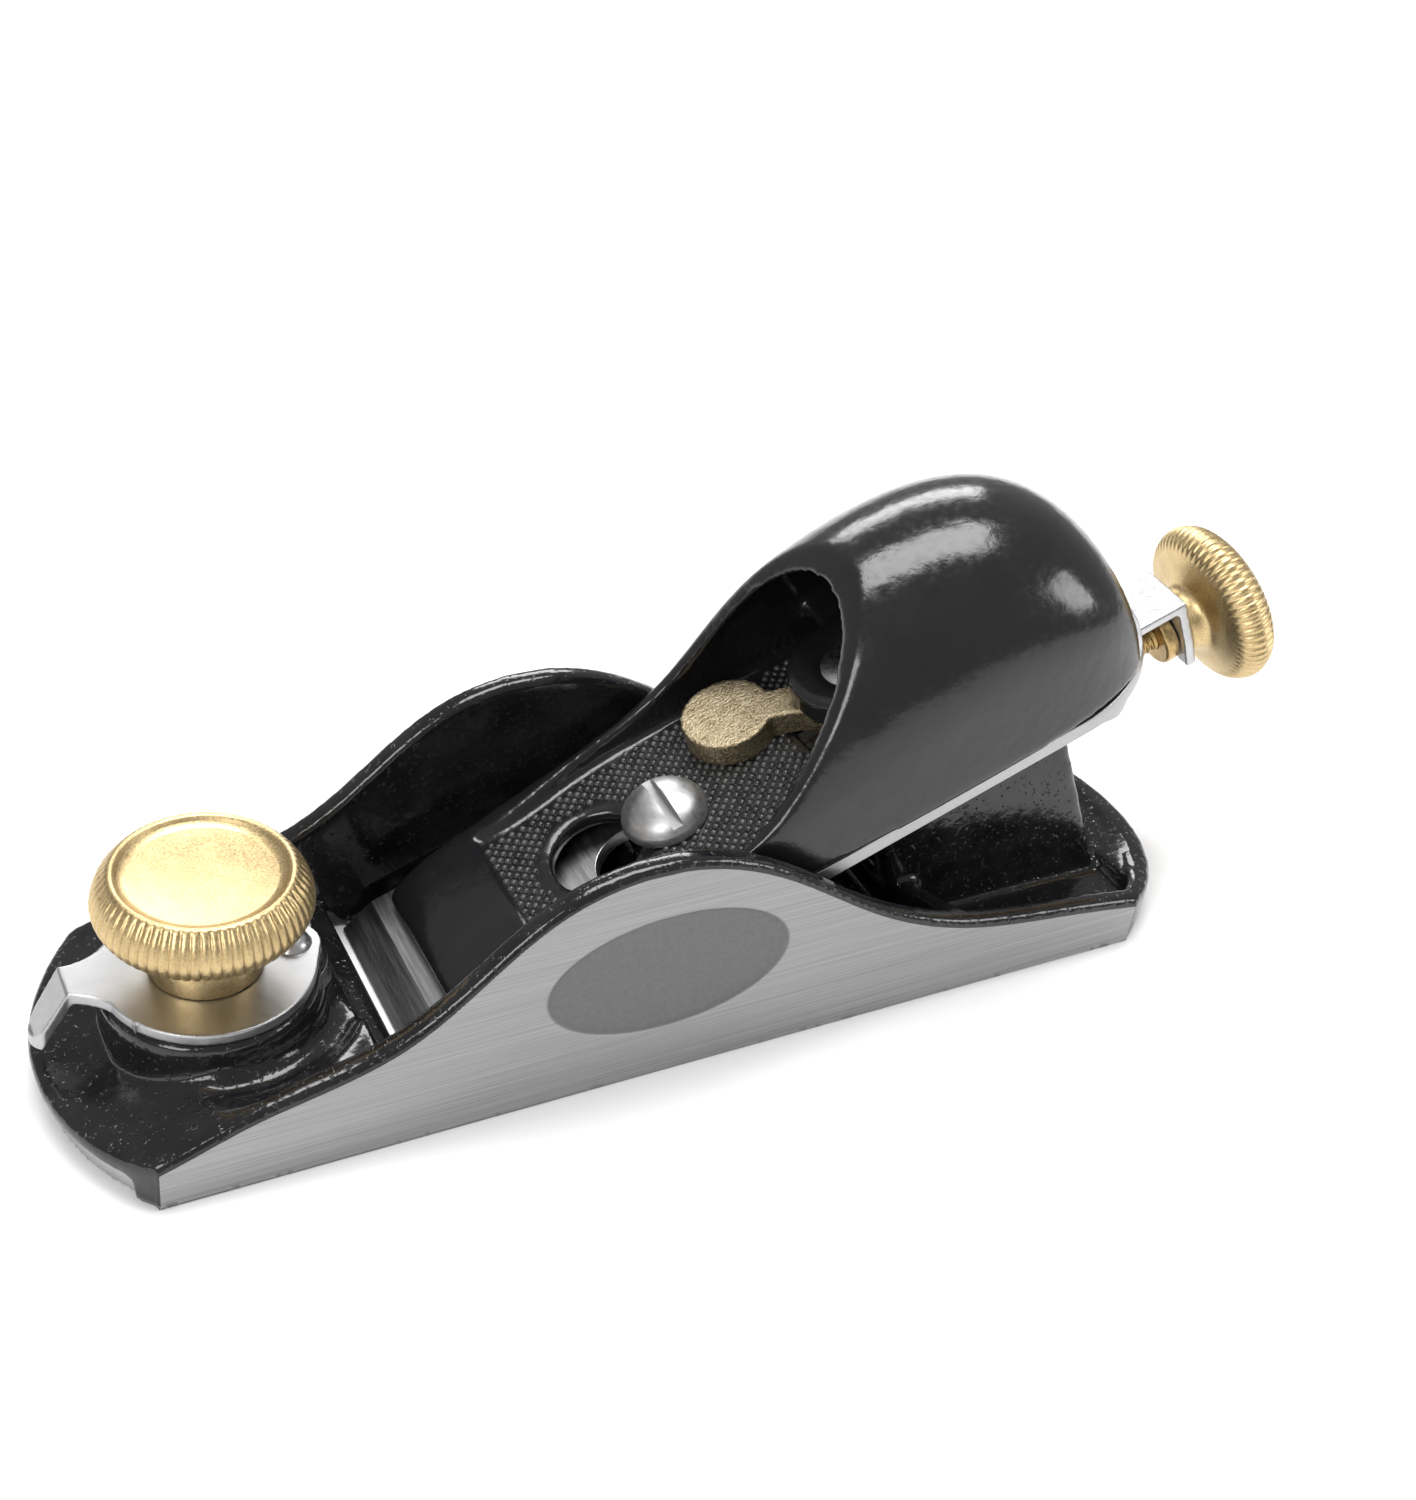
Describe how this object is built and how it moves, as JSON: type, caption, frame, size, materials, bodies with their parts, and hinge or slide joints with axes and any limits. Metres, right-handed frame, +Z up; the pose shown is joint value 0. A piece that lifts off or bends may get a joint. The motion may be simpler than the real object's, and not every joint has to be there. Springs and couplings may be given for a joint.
{
  "type": "block plane",
  "caption": "Adjustable block plane with ground iron body, low-angle cutter, hooded lever cap, brass knobs, lateral lever and sliding toe plate.",
  "frame": {"origin": "middle of the sole, on the resting surface", "axes": "+X from toe to heel, +Z up out of the sole, +Y to the far side"},
  "size_m": [0.1778, 0.0446, 0.0666],
  "materials": {
    "casting_enamel": "glossy black enamel on cast iron, sides and sole ground bright",
    "cap_enamel": "glossy black enamel on cast iron",
    "cutter_steel": "ground tool steel, satin",
    "zinc_plate": "bright zinc plated sheet steel",
    "nickel_plate": "nickel plated stamped steel",
    "knob_brass": "polished turned brass",
    "thread_brass": "cut brass thread",
    "cam_bronze": "rough sand cast bronze",
    "screw_steel": "zinc plated steel screw",
    "weld_bead": "burnt weld bead",
    "rivet_steel": "plain steel rivet head"
  },
  "bodies": {
    "plane_body": {"base_casting": "casting_enamel", "throat_rivet": "rivet_steel"},
    "throat_lever": {"throat_lever": "nickel_plate"},
    "toe_plate": {"toe_plate": "zinc_plate", "toe_stud": "screw_steel", "toe_stud_weld": "weld_bead"},
    "front_knob": {"front_knob": "knob_brass"},
    "depth_slide": {"depth_slide": "zinc_plate"},
    "depth_screw": {"depth_screw": "thread_brass", "depth_collar": "thread_brass", "depth_knob": "knob_brass"},
    "lateral_lever": {"lateral_lever": "nickel_plate", "lateral_bush": "nickel_plate"},
    "cutter": {"cutter": "cutter_steel"},
    "cap_screw": {"cap_screw": "screw_steel"},
    "lever_cap": {"lever_cap": "cap_enamel", "cam_rivet": "rivet_steel"},
    "cam_lever": {"cam_lever": "cam_bronze"}
  },
  "joints": [
    {"name": "throat_swing", "type": "hinge", "parent": "plane_body", "child": "throat_lever", "pos_m": [-0.0471, 0, 0.0157], "axis": [0, 0, 1], "range_deg": [-16.3, 34.3]},
    {"name": "toe_slide", "type": "slide", "parent": "plane_body", "child": "toe_plate", "axis": [-1, 0, 0], "range_m": [-0.00096, 0.00204]},
    {"name": "front_knob_turn", "type": "hinge", "parent": "toe_plate", "child": "front_knob", "pos_m": [-0.0579, 0, 0.025], "axis": [0, 0, 1], "range_deg": [0, 360]},
    {"name": "depth_travel", "type": "slide", "parent": "plane_body", "child": "depth_slide", "axis": [-0.9272, 0, -0.3746], "range_m": [-0.004, 0.0011]},
    {"name": "depth_turn", "type": "hinge", "parent": "depth_slide", "child": "depth_screw", "pos_m": [0.08354, 0, 0.03811], "axis": [-0.9272, 0, -0.3746], "range_deg": [-1806, 501]},
    {"name": "lateral_swing", "type": "hinge", "parent": "plane_body", "child": "lateral_lever", "pos_m": [0.00692, 0, 0.01686], "axis": [-0.3746, 0, 0.9272], "range_deg": [-1.2, 1.2]},
    {"name": "cutter_tilt", "type": "hinge", "parent": "depth_slide", "child": "cutter", "pos_m": [0.00692, 0, 0.01686], "axis": [-0.3746, 0, 0.9272], "range_deg": [-1.21, 1.21]},
    {"name": "cap_screw_lift", "type": "slide", "parent": "plane_body", "child": "cap_screw", "axis": [-0.3746, 0, 0.9272], "range_m": [0, 0.03]},
    {"name": "cap_release", "type": "slide", "parent": "cap_screw", "child": "lever_cap", "axis": [0.9272, 0, 0.3746], "range_m": [0, 0.01]},
    {"name": "cam_swing", "type": "hinge", "parent": "lever_cap", "child": "cam_lever", "pos_m": [0.03117, 0, 0.0396], "axis": [-0.3746, 0, 0.9272], "range_deg": [0, 48]}
  ],
  "couplings": [
    {"joint": "throat_swing", "follows": "toe_slide", "rad_per_m": 290.89},
    {"joint": "depth_turn", "follows": "depth_travel", "rad_per_m": 7854},
    {"joint": "cutter_tilt", "follows": "lateral_swing", "ratio": 1}
  ]
}
